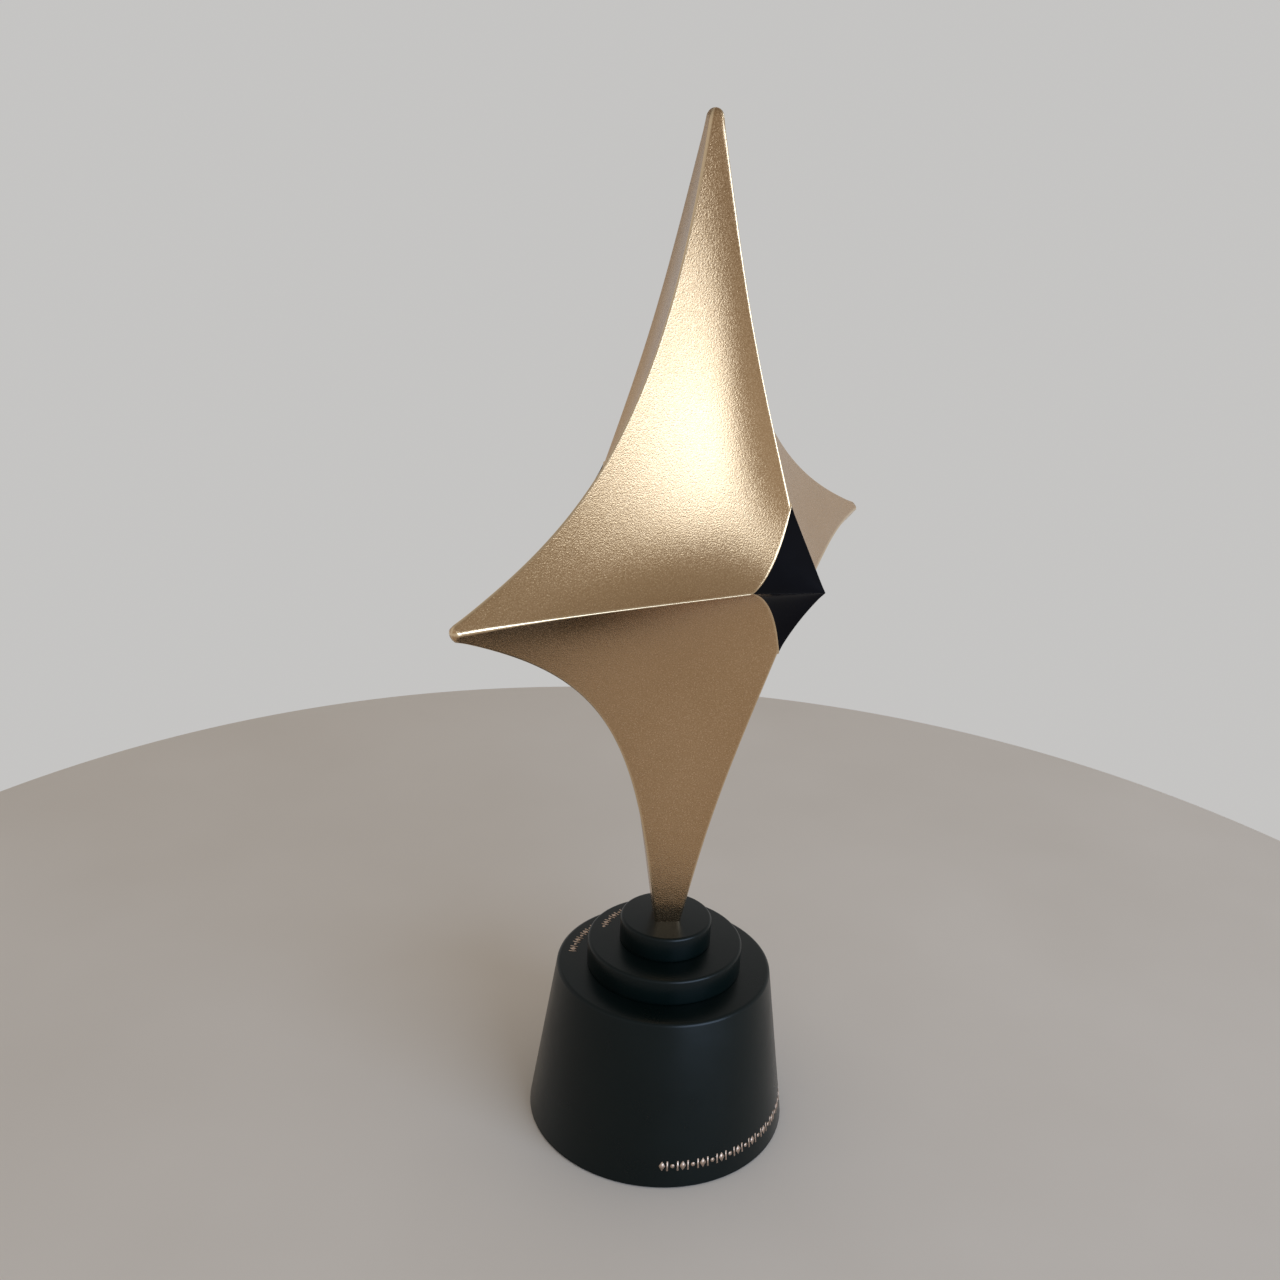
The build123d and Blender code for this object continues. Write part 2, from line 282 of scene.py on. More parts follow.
def edge_of(grid, edge):
    """One side of a grid of points: its line, its tangents and the directions into the grid."""
    line = grid[edges_of_grid[edge][0]]
    inner = grid[edges_of_grid[edge][1]]
    tangent = unit(np.gradient(line, axis=1 if "row" in edge else 0))
    inward = inner - line
    inward = unit(inward - (inward * tangent).sum(-1, keepdims=True) * tangent)
    return line, tangent, inward


def softening(grid, edge, other_inward, width):
    """How far each point moves to round one side of the grid off, and how near it is to that side.

    The softened bands of the two faces that meet there form a parabola.
    """
    line, tangent, inward = edge_of(grid, edge)
    gap = grid - line
    gap = gap - (gap * tangent).sum(-1, keepdims=True) * tangent
    distance = np.linalg.norm(gap, axis=-1)
    share = np.clip(distance / width, 0, 1)
    move = ((1 - share) ** 2 * width / 4)[..., None] * (inward + other_inward)
    return move, np.exp(-((distance / polish_width) ** 2))


def distance_to(line, point):
    return np.linalg.norm(line - np.array(point), axis=-1)


def tapered(width, line, ends, slope, extra=0.0):
    """The softened width along a line: it shrinks at the ends, where the grid is narrow."""
    nearest = np.min([distance_to(line, end) for end in ends], axis=0)
    width = width + extra * np.exp(-((nearest / tip_stretch) ** 2))
    return np.minimum(width, slope * nearest + least_softness)


def flat_inward(line, tangent, front):
    """Directions in the plane of a flat, from its rim to its middle."""
    inward = np.cross(tangent, np.array([0.0, front, 0.0]))
    towards_middle = -line * np.array([1.0, 0.0, 1.0])
    return unit(inward * np.sign((inward * towards_middle).sum(-1, keepdims=True)))


outer_steps = crowded_steps(outer_cells)
face_keys = [(side, front, level) for side in (-1, 1) for front in (-1, 1) for level in (-1, 1)]
sharp_faces = {key: face_grid(outer_form, key, outer_steps) for key in face_keys}


def softened_face(key):
    """One face of the star with its four sides softened, and how polished each point is."""
    side, front, level = key
    grid = sharp_faces[key]
    top_or_bottom = outer_form.top if level > 0 else -outer_form.bottom
    tips = [(0, 0, top_or_bottom), (side * outer_form.side, 0, outer_form.side_z)]
    flat_corners = [grid[0, -1], grid[-1, -1]]
    neighbours = {
        "first_column": ((side, -front, level), outline_softness),
        "first_row": ((-side, front, level), ridge_softness),
        "last_row": ((side, front, -level), equator_softness),
    }
    moves = []
    nearness = []
    for edge, (other, softness) in neighbours.items():
        line = grid[edges_of_grid[edge][0]]
        width = tapered(softness, line, tips, tip_taper, tip_softness)
        width = tapered(width, line, flat_corners, flat_corner_taper)
        other_inward = edge_of(sharp_faces[other], edge)[2]
        move, near = softening(grid, edge, other_inward, width)
        moves.append(move)
        nearness.append(near)
    line, tangent, _ = edge_of(grid, "last_column")
    width = tapered(rim_softness, line, flat_corners, rim_taper)
    move, near = softening(grid, "last_column", flat_inward(line, tangent, front), width)
    return grid + sum(moves) + move, np.max([*nearness, near * rim_polish], axis=0)


def flat_band(key):
    """The part of a flat next to its rim that the rim's softening bends down."""
    front = key[1]
    line, tangent, face_inward = edge_of(sharp_faces[key], "last_column")
    inward = flat_inward(line, tangent, front)
    width = tapered(rim_softness, line, [line[0, 0], line[-1, 0]], rim_taper)[..., None]
    share = np.linspace(0, 1, band_columns)[None, :, None]
    move = (1 - share) ** 2 * width / 4 * (inward + face_inward)
    return line + inward * width * share + move


def round_nose(points, direction, tip, nose):
    """Draws the points past a nose's centre in onto the nose."""
    direction, nose = np.array(direction), np.array(nose)
    centre = np.array(tip) - direction * nose
    offset = (points - centre) / nose
    length = np.linalg.norm(offset, axis=-1, keepdims=True)
    outside = ((offset @ direction)[..., None] > 0) & (length > 1)
    return np.where(outside, centre + offset / np.maximum(length, least_length) * nose, points)


def with_noses(points):
    """The points with the star's upper and side points rounded off."""
    points = round_nose(points, (0, 0, 1), (0, 0, star_top), top_nose)
    for side in (-1, 1):
        tip = (side * side_reach, 0, outer_form.side_z)
        points = round_nose(points, (side, 0, 0), tip, side_nose)
    return points


# ---------------------------------------------------------------- mesh helpers
weld_distance = 1e-4
cut_distance = 1e-5
plane_distance = 1e-3  # how near a point is to a plane that it lies in


def add_grid(bm, points, layer=None, values=None):
    """Adds a grid of points as quads."""
    rows, columns = points.shape[:2]
    verts = [[bm.verts.new(points[i, j]) for j in range(columns)] for i in range(rows)]
    if layer is not None:
        for i in range(rows):
            for j in range(columns):
                verts[i][j][layer] = float(values[i, j])
    for i in range(rows - 1):
        for j in range(columns - 1):
            bm.faces.new((verts[i][j], verts[i + 1][j], verts[i + 1][j + 1], verts[i][j + 1]))


def weld(bm):
    bmesh.ops.remove_doubles(bm, verts=bm.verts, dist=weld_distance)


def cut_off(bm, axis, place, direction):
    """Cuts the mesh at a plane across the axis and removes what lies beyond it in the direction."""
    point, normal = Vector(), Vector()
    point[axis] = place
    normal[axis] = direction
    bmesh.ops.bisect_plane(
        bm,
        geom=bm.verts[:] + bm.edges[:] + bm.faces[:],
        dist=cut_distance,
        plane_co=point,
        plane_no=normal,
        clear_outer=True,
    )


def open_edges(bm, axis, place):
    """Edges with one face that lie in the plane across the axis."""
    return [
        edge
        for edge in bm.edges
        if edge.is_boundary and all(abs(vert.co[axis] - place) < plane_distance for vert in edge.verts)
    ]


def fill(bm, edges):
    bmesh.ops.triangle_fill(bm, edges=edges, use_beauty=True, use_dissolve=False)


def fill_flat(bm, axis, place):
    """Fills the openings in the plane across the axis."""
    fill(bm, open_edges(bm, axis, place))


def fill_cut(bm, axis, place):
    """Fills an opening of a half, and draws its missing side on the joint between the halves."""
    edges = open_edges(bm, axis, place)
    along = 0 if axis == 2 else 2
    ends = {vert for edge in edges for vert in edge.verts if abs(vert.co.y) < plane_distance}
    ends = sorted(ends, key=lambda vert: vert.co[along])
    for first, second in zip(ends[::2], ends[1::2]):
        edges.append(bm.edges.new((first, second)))
    fill(bm, edges)


def turned_grid(profile, axis, sweep=2 * math.pi, cells=hole_cells):
    """Points of a profile of (radius, place along the axis) turned round the Y or Z axis."""
    angles = np.linspace(0, sweep, cells + 1)
    grid = np.zeros((len(angles), len(profile), 3))
    for column, (radius, place) in enumerate(profile):
        grid[:, column, 0] = radius * np.cos(angles)
        grid[:, column, 3 - axis] = radius * np.sin(angles)
        grid[:, column, axis] = place
    return grid


def new_object(name, bm, material):
    """Turns a mesh drawn in millimetres into an object in metres."""
    bmesh.ops.scale(bm, vec=(MM, MM, MM), verts=bm.verts)
    bmesh.ops.recalc_face_normals(bm, faces=bm.faces)
    mesh = bpy.data.meshes.new(name)
    bm.to_mesh(mesh)
    bm.free()
    mesh.shade_smooth()
    mesh.materials.append(material)
    made = bpy.data.objects.new(name, mesh)
    bpy.context.scene.collection.objects.link(made)
    return made


def new_piece(name, bm, material, slot, *nodes):
    """An object that rides on the trophy and replaces the nodes."""
    piece = new_object(name, bm, material)
    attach(piece, "root")
    if nodes:
        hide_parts(*nodes)
    return piece


def sharpen(piece, degrees):
    """Keeps the shading flat across creases sharper than the angle."""
    piece.data.set_sharp_from_angle(angle=math.radians(degrees))


# ---------------------------------------------------------------- star shells
def cavity_mesh(front):
    """Inner surface of one half, closed where it is cut short in the upper and side points."""
    bm = bmesh.new()
    steps = np.linspace(0, 1, cavity_cells + 1)
    for side in (-1, 1):
        for level in (-1, 1):
            add_grid(bm, face_grid(cavity_form, (side, front, level), steps))
    weld(bm)
    cuts = ((2, cavity_top_z, 1), (2, cavity_bottom_z, -1), (0, cavity_side_x, 1), (0, -cavity_side_x, -1))
    for axis, place, direction in cuts:
        cut_off(bm, axis, place, direction)
    for axis, place in ((2, cavity_top_z), (0, cavity_side_x), (0, -cavity_side_x)):
        fill_cut(bm, axis, place)
    mesh = bpy.data.meshes.new("cavity")
    bm.to_mesh(mesh)
    bm.free()
    return mesh


def add_outer_faces(bm, front):
    """Outer faces of one half down to its foot, with the bent edges of its flat."""
    polish = bm.verts.layers.float.new("polish")
    for side in (-1, 1):
        for level in (-1, 1):
            key = (side, front, level)
            points, polished = softened_face(key)
            add_grid(bm, with_noses(points), polish, polished)
            band = flat_band(key)
            add_grid(bm, band, polish, np.full(band.shape[:2], rim_polish))
    weld(bm)
    cut_off(bm, 2, foot_z, -1)


def add_cavity(bm, front):
    """The inner surface of one half."""
    inside = cavity_mesh(front)
    bm.from_mesh(inside)
    bpy.data.meshes.remove(inside)


def add_bore(bm, front):
    """Half of the stud's bore, from the foot through the nut's pocket to the cavity."""
    profile = (
        (bore_radius, foot_z),
        (bore_radius, nut_pocket_bottom),
        (nut_pocket_radius, nut_pocket_bottom),
        (nut_pocket_radius, nut_pocket_top),
        (bore_radius, nut_pocket_top),
        (bore_radius, cavity_bottom_z),
    )
    add_grid(bm, turned_grid(profile, 2, front * math.pi))
    fill_cut(bm, 2, foot_z)
    fill_cut(bm, 2, cavity_bottom_z)


def add_cap_recess(bm, front):
    """Recess for a cap's spigot and clearance for its screw, through the flat's wall."""
    outside, inside = front * outer_form.flat_y, front * cavity_form.flat_y
    seat = front * (outer_form.flat_y - spigot_length)
    profile = (
        (spigot_recess_radius, outside),
        (spigot_recess_radius, seat),
        (screw_clearance, seat),
        (screw_clearance, inside),
    )
    add_grid(bm, turned_grid(profile, 1))
    weld(bm)
    fill_flat(bm, 1, outside)
    fill_flat(bm, 1, inside)


def add_pin_holes(bm, front):
    """Holes for the shell dowels in the face where the halves meet, and that face itself."""
    depth = front * shell_pin_hole_depth
    hole = turned_grid(((shell_pin_hole_radius, 0), (shell_pin_hole_radius, depth), (0, depth)), 1)
    for x, z in shell_pin_places:
        add_grid(bm, hole + np.array([x, 0, z]))
    weld(bm)
    fill_flat(bm, 1, 0)


def star_shell(name, front, material):
    """Front (-1) or back (+1) casting of the star, hollow, with its bores and recesses."""
    bm = bmesh.new()
    add_outer_faces(bm, front)
    add_cavity(bm, front)
    add_bore(bm, front)
    add_cap_recess(bm, front)
    add_pin_holes(bm, front)
    bmesh.ops.translate(bm, verts=bm.verts, vec=(0, 0, star_centre_z))
    shell = new_piece(name, bm, material, "gold_finish", name.replace("gold_", ""))
    sharpen(shell, shell_crease)


# ---------------------------------------------------------------- caps
def sharp_cap_face(side, front, level):
    """Points of one hollow-curved face of a black cap, rows along its base, columns up to its apex."""
    base = face_sides(outer_form, side, front, level)[1] * np.array([cap_inset, 1, cap_inset])
    apex = np.array([0, front * cap_apex_y, 0])
    middle = (base + apex) / 2
    if level < 0:
        middle += np.array([0, -front * cap_hollow[0], cap_hollow[1]]) * np.linspace(1, 0, 4)[:, None]
    weights = curve_weights(crowded_steps(cap_cells))
    base, middle = weights @ base, weights @ middle
    rise = np.linspace(0, 1, cap_cells + 1)[None, :, None]
    return base[:, None] * (1 - rise) ** 2 + 2 * middle[:, None] * rise * (1 - rise) + apex * rise**2


def cap_face(side, front, level):
    """One face of a black cap with its ridges softened."""
    grid = sharp_cap_face(side, front, level)
    neighbours = {"first_row": (-side, front, level), "last_row": (side, front, -level)}
    moves = []
    for edge, other in neighbours.items():
        line = grid[edges_of_grid[edge][0]]
        width = tapered(cap_softness, line, [line[0, 0], line[0, -1]], cap_taper)
        other_inward = edge_of(sharp_cap_face(*other), edge)[2]
        moves.append(softening(grid, edge, other_inward, width)[0])
    return grid + sum(moves)


def cap(name, front, material):
    """Black point on one of the flats, with the spigot and screw hole behind it."""
    bm = bmesh.new()
    for side in (-1, 1):
        for level in (-1, 1):
            add_grid(bm, cap_face(side, front, level))
    flat = front * outer_form.flat_y
    spigot_end = front * (outer_form.flat_y - spigot_length)
    profile = (
        (spigot_radius, flat),
        (spigot_radius, spigot_end),
        (screw_hole_radius, spigot_end),
        (screw_hole_radius, front * screw_hole_y),
        (0, front * screw_hole_y),
    )
    add_grid(bm, turned_grid(profile, 1))
    weld(bm)
    fill_flat(bm, 1, flat)
    bmesh.ops.translate(bm, verts=bm.verts, vec=(0, 0, star_centre_z))
    piece = new_piece(name, bm, material, "black_gloss", name.replace("black_", ""))
    sharpen(piece, cap_crease)


# ---------------------------------------------------------------- plinth
def arc(centre, radius, start, end, steps=8):
    """Points (radius, height) of a round stretch of a profile. Angles are in degrees from outwards."""
    angles = np.radians(np.linspace(start, end, steps + 1))
    return [(centre[0] + radius * math.cos(a), centre[1] + radius * math.sin(a)) for a in angles]


def plinth_piece(name, profile, material, node):
    """Round lacquered piece with a closed profile, turned round the trophy's axis."""
    bm = bmesh.new()
    add_grid(bm, turned_grid([*profile, profile[0]], 2, cells=plinth_cells))
    weld(bm)
    piece = new_piece(name, bm, material, "black_lacquer", node)
    sharpen(piece, plinth_crease)


stud_clearance = 2.5
step_rounding = 0.9
step_foot_rounding = 0.4


def step_profile(node, hole_radius):
    """Profile of a round step with both its edges rounded."""
    radius, bottom, top = high(node).x, low(node).z, high(node).z
    return [
        (hole_radius, bottom),
        *arc((radius - step_foot_rounding, bottom + step_foot_rounding), step_foot_rounding, -90, 0),
        *arc((radius - step_rounding, top - step_rounding), step_rounding, 0, 90),
        (hole_radius, top),
    ]


block_bottom_radius = 40.5
block_top_radius = 33.0
block_bottom_rounding = 0.5
block_top_rounding = 1.2
pad_recess_radius = 36.1
plate_recess_radius = 30.0


def block_profile():
    """Profile of the tapered block, with the recesses for the pad and the plate."""
    bottom, top = low("base_block").z, high("base_block").z
    lean = math.atan2(block_bottom_radius - block_top_radius, top - bottom)
    pad_top, plate_top = high("base_pad").z, high("ballast_plate").z
    turn = math.degrees(lean)
    low_reach = block_bottom_rounding * math.tan((math.pi / 2 + lean) / 2)
    high_reach = block_top_rounding * math.tan((math.pi / 2 - lean) / 2)
    low_centre = (block_bottom_radius - low_reach, bottom + block_bottom_rounding)
    high_centre = (block_top_radius - high_reach, top - block_top_rounding)
    return [
        (pad_recess_radius, bottom),
        *arc(low_centre, block_bottom_rounding, -90, turn),
        *arc(high_centre, block_top_rounding, turn, 90),
        (stud_clearance, top),
        (stud_clearance, plate_top),
        (plate_recess_radius, plate_top),
        (plate_recess_radius, pad_top),
        (pad_recess_radius, pad_top),
    ]


# ---------------------------------------------------------------- materials
class Shader:
    """A procedural material round one Principled shader, mapped in metres from the trophy's origin."""

    def __init__(self, name):
        self.material = bpy.data.materials.new(name)
        self.material.use_nodes = True
        self.tree = self.material.node_tree
        self.surface = self.tree.nodes["Principled BSDF"]
        self.place = self.tree.nodes.new("ShaderNodeTexCoord").outputs["Object"]

    def set(self, **values):
        """Sets numbers and colours on the shader's own sockets, with _ for a space in their names."""
        for name, value in values.items():
            self.surface.inputs[name.replace("_", " ")].default_value = value

    def link(self, source, target):
        self.tree.links.new(source, target)

    def noise(self, scale, detail, roughness=0.5, place=None):
        made = self.tree.nodes.new("ShaderNodeTexNoise")
        made.inputs["Scale"].default_value = scale
        made.inputs["Detail"].default_value = detail
        made.inputs["Roughness"].default_value = roughness
        self.link(place or self.place, made.inputs["Vector"])
        return made.outputs["Fac"]

    def stretched(self, scale):
        """The place with its axes scaled, for grain that runs one way."""
        made = self.tree.nodes.new("ShaderNodeMapping")
        made.inputs["Scale"].default_value = scale
        self.link(self.place, made.inputs["Vector"])
        return made.outputs["Vector"]

    def tones(self, source, colours, start=0.3, end=0.7):
        """From the first colour to the second as the source's value goes from start to end."""
        made = self.tree.nodes.new("ShaderNodeValToRGB")
        for element, place, colour in zip(made.color_ramp.elements, (start, end), colours):
            element.position = place
            element.color = (*colour, 1)
        self.link(source, made.inputs["Fac"])
        return made.outputs["Color"]

    def span(self, source, low_value, high_value, start=0.3, end=0.7):
        """The source's value carried over from start..end to low_value..high_value."""
        made = self.tree.nodes.new("ShaderNodeMapRange")
        made.inputs["From Min"].default_value = start
        made.inputs["From Max"].default_value = end
        made.inputs["To Min"].default_value = low_value
        made.inputs["To Max"].default_value = high_value
        self.link(source, made.inputs["Value"])
        return made.outputs["Result"]

    def height(self):
        """The place's height above the floor."""
        made = self.tree.nodes.new("ShaderNodeSeparateXYZ")
        self.link(self.place, made.inputs["Vector"])
        return made.outputs["Z"]

    def mix(self, factor, first, second, kind="RGBA"):
        """first where the factor is 0 and second where it is 1."""
        made = self.tree.nodes.new("ShaderNodeMix")
        made.data_type = kind
        first_input, second_input, output = {"RGBA": (6, 7, 2), "FLOAT": (2, 3, 0)}[kind]
        self.link(factor, made.inputs[0])
        self.link(first, made.inputs[first_input])
        self.link(second, made.inputs[second_input])
        return made.outputs[output]

    def attribute(self, name):
        """The value that the mesh holds under the name."""
        made = self.tree.nodes.new("ShaderNodeAttribute")
        made.attribute_name = name
        return made.outputs["Fac"]

    def bump(self, height, distance, strength, under=None):
        """Bump of the given height in metres, over an earlier one."""
        made = self.tree.nodes.new("ShaderNodeBump")
        made.inputs["Distance"].default_value = distance
        made.inputs["Strength"].default_value = strength
        self.link(height, made.inputs["Height"])
        if under:
            self.link(under, made.inputs["Normal"])
        return made.outputs["Normal"]

    def use(self, **sources):
        """Links sources to the shader's own sockets, with _ for a space in their names."""
        for name, source in sources.items():
            self.link(source, self.surface.inputs[name.replace("_", " ")])


gold_tones = ((0.51, 0.32, 0.155), (0.57, 0.365, 0.19))
# painted shade: darker, browner gold laid over the upper tip
top_shade_tones = ((0.27, 0.155, 0.068), (0.31, 0.18, 0.083))
speck_tones = ((0.41, 0.245, 0.115), (0.65, 0.435, 0.245))
worn_tones = ((0.74, 0.55, 0.34), (0.82, 0.62, 0.39))
top_shade_from = 0.225  # heights in metres between which painted shade turns the gold darker and browner towards the upper tip
top_shade_to = 0.275


def gold_paint():
    """Fine-grained metallic gold, worn brighter and smoother along the ridges, with painted shade that
    darkens it towards the upper tip.
    """
    made = Shader("blasted_gold")
    made.set(Metallic=1.0, Coat_Weight=0.35, Coat_Roughness=0.3)
    clouds = made.noise(28, 3)
    grain = made.noise(2600, 2, 0.6)
    body = made.tones(clouds, gold_tones)
    # painted shade: the gold turns darker and browner with height near the upper tip
    top_shade = made.tones(clouds, top_shade_tones)
    body = made.mix(made.span(made.height(), 0.0, 1.0, top_shade_from, top_shade_to), body, top_shade)
    specks = made.tones(grain, speck_tones, 0.38, 0.62)
    cover = made.span(grain, 0.3, 0.7)
    paint = made.mix(cover, body, specks)
    bright = made.tones(clouds, worn_tones, 0.0, 1.0)
    worn = made.span(made.attribute("polish"), 0.0, 0.9, 0.25, 0.75)
    made.use(Base_Color=made.mix(worn, paint, bright))
    dull = made.span(grain, 0.19, 0.285)
    shiny = made.span(grain, 0.20, 0.26)
    made.use(Roughness=made.mix(worn, dull, shiny, "FLOAT"))
    coarse = made.bump(made.noise(420, 2), 0.00003, 0.3)
    height = made.mix(worn, grain, made.span(grain, 0.45, 0.55), "FLOAT")
    made.use(Normal=made.bump(height, 0.0001, 0.8, coarse))
    return made.material


def cap_gloss():
    """Deep black gloss with a faint orange peel."""
    made = Shader("gloss_black")
    made.set(Specular_IOR_Level=0.10)
    made.use(Base_Color=made.tones(made.noise(60, 2), ((0.002, 0.002, 0.003), (0.004, 0.004, 0.006))))
    made.use(Roughness=made.span(made.noise(300, 2), 0.16, 0.24))
    made.use(Normal=made.bump(made.noise(500, 1), 0.00002, 0.3))
    return made.material


def black_lacquer():
    """Satin black lacquer on wood, with soft brush-out and a fine orange peel."""
    made = Shader("black_lacquer")
    made.set(Specular_IOR_Level=0.22)
    clouds = made.noise(22, 3)
    made.use(Base_Color=made.tones(clouds, ((0.0006, 0.0034, 0.0032), (0.0014, 0.0048, 0.0046))))
    made.use(Roughness=made.span(made.noise(90, 3), 0.27, 0.34))
    peel = made.bump(made.noise(700, 2), 0.00002, 0.4)
    made.use(Normal=made.bump(made.noise(60, 1), 0.0001, 0.25, peel))
    return made.material


def gold_foil():
    """Hot-stamped gold foil with small wear."""
    made = Shader("gold_foil")
    made.set(Metallic=1.0)
    wear = made.noise(1800, 3)
    made.use(Base_Color=made.tones(wear, ((0.46, 0.33, 0.24), (0.70, 0.53, 0.42)), 0.3, 0.6))
    made.use(Roughness=made.span(wear, 0.55, 0.42))
    made.use(Normal=made.bump(wear, 0.00002, 0.4))
    return made.material


def pad_foam():
    """Dark soft disc under the plinth."""
    made = Shader("pad_foam")
    cells = made.noise(1500, 2)
    made.use(Base_Color=made.tones(cells, ((0.010, 0.010, 0.011), (0.022, 0.022, 0.023))))
    made.use(Roughness=made.span(cells, 0.85, 0.95))
    made.use(Normal=made.bump(cells, 0.0001, 0.6))
    return made.material


def brushed_steel():
    """Turned and cut steel of the stud, nuts, screws, washers, pins and plate."""
    made = Shader("plain_steel")
    made.set(Metallic=1.0)
    cut = made.noise(900, 3, place=made.stretched((1, 1, 12)))
    made.use(Base_Color=made.tones(cut, ((0.50, 0.51, 0.52), (0.62, 0.62, 0.63))))
    made.use(Roughness=made.span(cut, 0.28, 0.42))
    made.use(Normal=made.bump(cut, 0.00002, 0.5))
    return made.material


def dowel_wood():
    """Pale beech with upright grain."""
    made = Shader("dowel_wood")
    grain = made.noise(700, 3, place=made.stretched((1, 1, 0.08)))
    made.use(Base_Color=made.tones(grain, ((0.42, 0.27, 0.14), (0.60, 0.42, 0.24))))
    made.use(Roughness=made.span(grain, 0.55, 0.7))
    made.use(Normal=made.bump(grain, 0.00005, 0.5))
    return made.material


def floor_finish():
    """Plain pale floor with a hardly visible mottle."""
    made = Shader("pale_floor")
    made.use(Base_Color=made.tones(made.noise(9, 3), ((0.71, 0.62, 0.53), (0.75, 0.66, 0.57))))
    made.use(Roughness=made.span(made.noise(30, 2), 0.74, 0.78))
    return made.material


# ---------------------------------------------------------------- gold ornament on the plinth
@dataclass
class OrnamentRow:
    """A row of small figures along an arc of the plinth."""

    radius: float
    first: float  # angle in degrees where the row starts
    last: float
    pitch: float  # from one figure to the next
    size: float  # height of the tallest figure


block_side_row = OrnamentRow(radius=39.2, first=-49, last=49, pitch=1.55, size=3.1)
block_top_row = OrnamentRow(radius=28.6, first=147, last=213, pitch=1.3, size=2.4)
step_top_row = OrnamentRow(radius=19.6, first=155, last=205, pitch=1.2, size=2.2)
block_side_row_z = 7.5

# Widths of the figures as parts of the row's size
diamond_share = 0.62
bar_share = 0.16
dot_share = 0.42
bar_points = 4  # along each long side of a bar, so that it follows a curve
dot_points = 12

foil_proud = 0.06
foil_sunk = 0.05


def diamond(width, height):
    """Outline of a diamond."""
    return [(-width / 2, 0), (0, -height / 2), (width / 2, 0), (0, height / 2)]


def bar(width, height):
    """Outline of an upright bar."""
    xs = np.linspace(-width / 2, width / 2, bar_points)
    return [(x, -height / 2) for x in xs] + [(x, height / 2) for x in xs[::-1]]


def dot(diameter):
    """Outline of a round dot."""
    angles = np.linspace(0, 2 * math.pi, dot_points + 1)[:-1]
    return [(diameter / 2 * math.cos(a), diameter / 2 * math.sin(a)) for a in angles]


def add_foil(bm, outline, mapping):
    """A thin closed plate with the outline, laid on a surface by the mapping (x, y, lift) -> point."""
    under = [bm.verts.new(mapping(x, y, -foil_sunk)) for x, y in outline]
    over = [bm.verts.new(mapping(x, y, foil_proud)) for x, y in outline]
    bm.faces.new(under)
    bm.faces.new(over)
    count = len(outline)
    for i in range(count):
        j = (i + 1) % count
        bm.faces.new((under[i], under[j], over[j], over[i]))


def side_mapping(height, angle):
    """Lays a figure on the block's leaning side."""
    bottom, top = low("base_block").z, high("base_block").z
    lean = (block_bottom_radius - block_top_radius) / (top - bottom)

    def place(x, y, lift):
        z = height + y
        radius = block_bottom_radius - (z - bottom) * lean + lift
        turn = angle + x / radius
        return (radius * math.sin(turn), -radius * math.cos(turn), z + lift * lean)

    return place


def top_mapping(radius, height, angle):
    """Lays a figure flat on the block or a step, with its top towards the middle."""

    def place(x, y, lift):
        turn = angle + x / radius
        at = radius - y
        return (at * math.sin(turn), -at * math.cos(turn), height + lift)

    return place


def ornament(name, row, mapping_at, material):
    """Repeats diamond, bar, dot, bar along the row. mapping_at gives the mapping at an angle."""
    bm = bmesh.new()
    start, end = math.radians(row.first), math.radians(row.last)
    count = max(2, round((end - start) * row.radius / row.pitch))
    upright = bar(row.size * bar_share, row.size)
    figures = (diamond(row.size * diamond_share, row.size), upright, dot(row.size * dot_share), upright)
    for i in range(count + 1):
        angle = start + (end - start) * i / count
        add_foil(bm, figures[i % len(figures)], mapping_at(angle))
    new_piece(name, bm, material, "gold_finish")


# ---------------------------------------------------------------- build the trophy
gold = gold_paint()
lacquer = black_lacquer()
gloss = cap_gloss()
foil = gold_foil()
foam = pad_foam()
steel = brushed_steel()
wood = dowel_wood()

star_shell("gold_star_front_shell", -1, gold)
star_shell("gold_star_back_shell", 1, gold)
cap("black_front_cap", -1, gloss)
cap("black_back_cap", 1, gloss)
plinth_piece("plinth_block", block_profile(), lacquer, "base_block")
plinth_piece("plinth_middle_step", step_profile("middle_step", stud_clearance), lacquer, "middle_step")
plinth_piece("plinth_top_step", step_profile("top_step", bore_radius), lacquer, "top_step")

on_block_side = partial(side_mapping, block_side_row_z)
on_block_top = partial(top_mapping, block_top_row.radius, high("base_block").z)
on_step_top = partial(top_mapping, step_top_row.radius, high("middle_step").z)
ornament("ornament_block_side", block_side_row, on_block_side, foil)
ornament("ornament_block_top", block_top_row, on_block_top, foil)
ornament("ornament_step_top", step_top_row, on_step_top, foil)

node_materials = {
    "base_pad": foam,
    "ballast_plate": steel,
    "middle_step_dowels": wood,
    "top_step_dowels": wood,
    "tie_stud": steel,
    "foot_nut": steel,
    "stud_nut": steel,
    "stud_spring_washer": steel,
    "stud_washer": steel,
    "shell_dowels": steel,
    "front_cap_screw": steel,
    "back_cap_screw": steel,
    "front_cap_washer": steel,
    "back_cap_washer": steel,
}
for node, finish in node_materials.items():
    for material_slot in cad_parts[node].material_slots:
        material_slot.material = finish

# ---------------------------------------------------------------- floor, light and camera
floor_radius = 360.0
floor_thickness = 20.0
floor_rounding = 4.0


def pale_floor():
    """Round pale floor with a rounded edge."""
    bm = bmesh.new()
    edge_centre = floor_radius - floor_rounding
    profile = [
        (0, 0),
        *arc((edge_centre, -floor_rounding), floor_rounding, 90, 0),
        *arc((edge_centre, floor_rounding - floor_thickness), floor_rounding, 0, -90),
        (0, -floor_thickness),
    ]
    add_grid(bm, turned_grid(profile, 2, cells=floor_cells))
    weld(bm)
    new_object("pale_floor", bm, floor_finish())


light_azimuth = -11.8  # from the front and positive towards +X
light_elevation = 8.4
light_distance = 1.6  # metres from the star's centre
light_size = (1.36, 1.24)  # metres
light_power = 27.5
light_colour = (0.53, 0.715, 1.0)


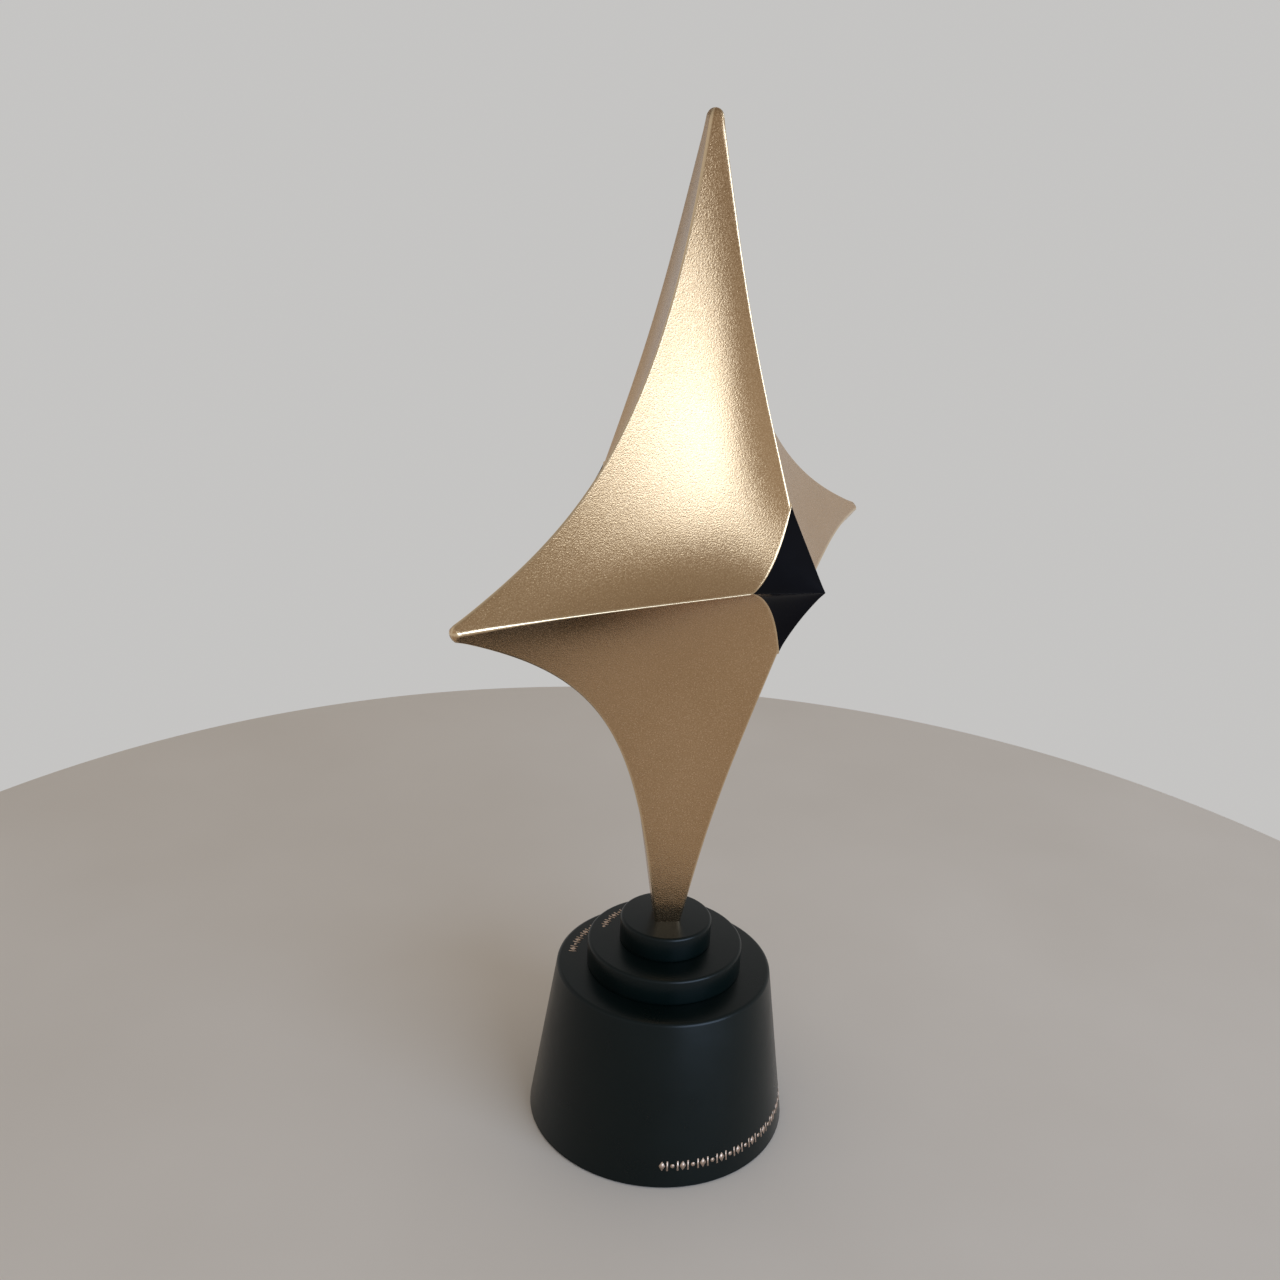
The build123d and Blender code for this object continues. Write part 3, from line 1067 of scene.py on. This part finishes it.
def window_light():
    """Rectangular studio light that faces the star and isn't seen itself."""
    light = bpy.data.lights.new("window_light", "AREA")
    light.shape = "RECTANGLE"
    light.size, light.size_y = light_size
    light.energy = light_power
    light.color = light_colour
    lamp = bpy.data.objects.new("window_light", light)
    azimuth, elevation = math.radians(light_azimuth), math.radians(light_elevation)
    level_share = math.cos(elevation)
    towards = Vector((
        math.sin(azimuth) * level_share,
        -math.cos(azimuth) * level_share,
        math.sin(elevation),
    ))
    lamp.location = Vector((0, 0, star_centre_z * MM)) + towards * light_distance
    lamp.rotation_mode = "QUATERNION"
    lamp.rotation_quaternion = towards.to_track_quat("Z", "Y")
    lamp.visible_camera = False
    bpy.context.scene.collection.objects.link(lamp)


wall_colour = (1.0, 0.99, 0.975)
ceiling_colour = (0.68, 0.67, 0.65)
ceiling_starts = 0.35  # sines of the elevations between which the wall turns into the ceiling
ceiling_full = 0.85
air_strength = 0.56


def studio_air():
    """Even studio surroundings: the pale wall's colour, darker overhead."""
    world = bpy.data.worlds.new("studio")
    world.use_nodes = True
    tree = world.node_tree
    towards = tree.nodes.new("ShaderNodeTexCoord").outputs["Generated"]
    axes = tree.nodes.new("ShaderNodeSeparateXYZ")
    ramp = tree.nodes.new("ShaderNodeValToRGB")
    wall, ceiling = ramp.color_ramp.elements
    wall.position = ceiling_starts
    wall.color = (*wall_colour, 1)
    ceiling.position = ceiling_full
    ceiling.color = (*ceiling_colour, 1)
    tree.links.new(towards, axes.inputs["Vector"])
    tree.links.new(axes.outputs["Z"], ramp.inputs["Fac"])
    background = tree.nodes["Background"]
    tree.links.new(ramp.outputs["Color"], background.inputs["Color"])
    background.inputs["Strength"].default_value = air_strength
    bpy.context.scene.world = world


camera_place = Vector((-0.289, -0.2115, 0.2874))  # metres
camera_yaw = 51.84
camera_pitch = -19.86
camera_roll = 2.86
camera_lens = 37.55
camera_sensor = 36


def photo_camera():
    """Camera at the photograph's viewing angle. Yaw is from +Y towards +X."""
    data = bpy.data.cameras.new("camera")
    data.lens = camera_lens
    data.sensor_width = camera_sensor
    data.clip_start = 0.01
    data.dof.use_dof = False
    camera = bpy.data.objects.new("camera", data)
    yaw = Matrix.Rotation(math.radians(-camera_yaw), 4, "Z")
    pitch = Matrix.Rotation(math.radians(90 + camera_pitch), 4, "X")
    roll = Matrix.Rotation(math.radians(camera_roll), 4, "Z")
    camera.matrix_world = Matrix.Translation(camera_place) @ yaw @ pitch @ roll
    bpy.context.scene.collection.objects.link(camera)
    bpy.context.scene.camera = camera


pale_floor()
window_light()
studio_air()
photo_camera()
bpy.context.scene.view_settings.view_transform = "Standard"
